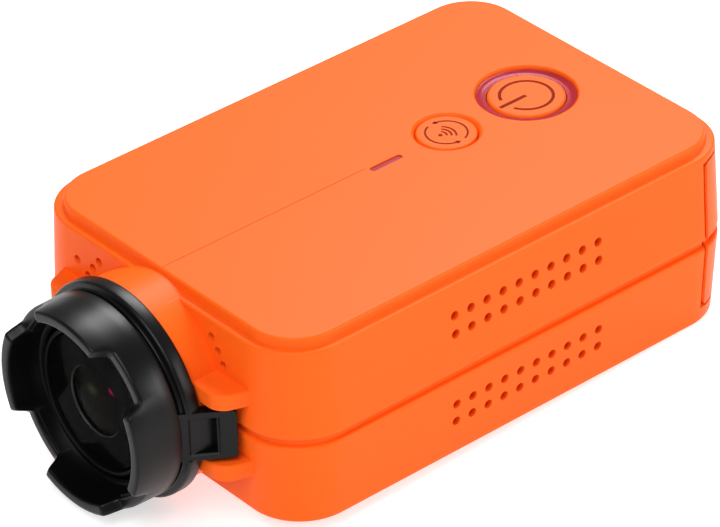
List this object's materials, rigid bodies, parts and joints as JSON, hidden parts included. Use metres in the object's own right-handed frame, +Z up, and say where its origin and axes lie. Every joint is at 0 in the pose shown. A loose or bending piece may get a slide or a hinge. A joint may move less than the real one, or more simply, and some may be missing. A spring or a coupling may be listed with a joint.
{
  "type": "action camera",
  "caption": "Pocket action camera in an orange two-part case with vents, top buttons, a light ring, a hinged rear door and a push-on notched lens hood over a wide-angle lens.",
  "frame": {"origin": "centre of the flat base of the case, seen from below", "axes": "-Y along the lens axis out of the lens, +Y towards the rear door, +Z up through the top panel"},
  "size_m": [0.038, 0.066, 0.021],
  "materials": {
    "case_orange": "satin moulded plastic, light orange on top",
    "hood_black": "satin black moulded plastic",
    "lens_black": "matt black anodised",
    "lens_glass": "coated glass",
    "clear_red": "tinted clear plastic",
    "steel": "plain steel",
    "screw_black": "blackened steel",
    "board_green": "solder mask",
    "chip_black": "moulded package",
    "tin_can": "tinned sheet",
    "flex_amber": "flat cable film",
    "ivory": "ivory moulding",
    "spreader": "bare sheet",
    "pad_grey": "soft pad",
    "boot_rubber": "black rubber",
    "frame_grey": "grey moulding",
    "battery_wrap": "shrink film",
    "pull_ribbon": "film ribbon",
    "contact_gold": "plated spring metal",
    "wire_red": "insulated wire",
    "lamp_white": "lamp package"
  },
  "bodies": {
    "camera": {"top_shell": "case_orange", "bottom_shell": "case_orange", "hinge_pin": "steel", "case_screws": "screw_black", "lens_barrel": "lens_black", "lens_bezel": "lens_black", "front_element": "lens_glass", "middle_element": "lens_glass", "rear_element": "lens_glass", "lens_spacer": "lens_black", "lock_ring": "steel", "lens_mount": "lens_black", "mount_screws": "steel", "ir_filter": "lens_glass", "image_sensor": "chip_black", "sensor_board": "board_green", "sensor_flex": "flex_amber", "flex_connector": "ivory", "main_board": "board_green", "processor": "chip_black", "memory_chip": "chip_black", "radio_shield": "tin_can", "antenna": "ivory", "thermal_pad": "pad_grey", "heat_spreader": "spreader", "power_inductors": "chip_black", "usb_socket": "tin_can", "card_socket": "tin_can", "switch_bodies": "tin_can", "indicator_leds": "lamp_white", "microphone": "tin_can", "microphone_boot": "boot_rubber", "microphone_leads": "wire_red", "board_screws": "steel", "mid_frame": "frame_grey", "battery": "battery_wrap", "battery_pull": "pull_ribbon", "contact_block": "chip_black", "battery_contacts": "contact_gold", "light_ring": "clear_red", "status_window": "clear_red"},
    "power_key": {"power_button": "case_orange", "power_plunger": "chip_black"},
    "mode_key": {"mode_button": "case_orange", "mode_plunger": "chip_black"},
    "door": {"rear_door": "case_orange"},
    "hood": {"lens_hood": "hood_black"},
    "card": {"memory_card": "chip_black"}
  },
  "joints": [
    {"name": "power_press", "type": "slide", "parent": "camera", "child": "power_key", "axis": [0, 0, -1], "range_m": [0, 0.0004], "stiffness_N_per_m": 400, "springref_m": -0.0005},
    {"name": "mode_press", "type": "slide", "parent": "camera", "child": "mode_key", "axis": [0, 0, -1], "range_m": [0, 0.0004], "stiffness_N_per_m": 400, "springref_m": -0.0005},
    {"name": "door_swing", "type": "hinge", "parent": "camera", "child": "door", "pos_m": [0, 0.0263, 0.00305], "axis": [-1, 0, 0], "range_deg": [0, 90]},
    {"name": "hood_pull", "type": "slide", "parent": "camera", "child": "hood", "axis": [0, -1, 0], "range_m": [0, 0.012]},
    {"name": "card_push", "type": "slide", "parent": "camera", "child": "card", "axis": [0, -1, 0], "range_m": [0, 0.0008], "stiffness_N_per_m": 300, "springref_m": -0.0003}
  ]
}
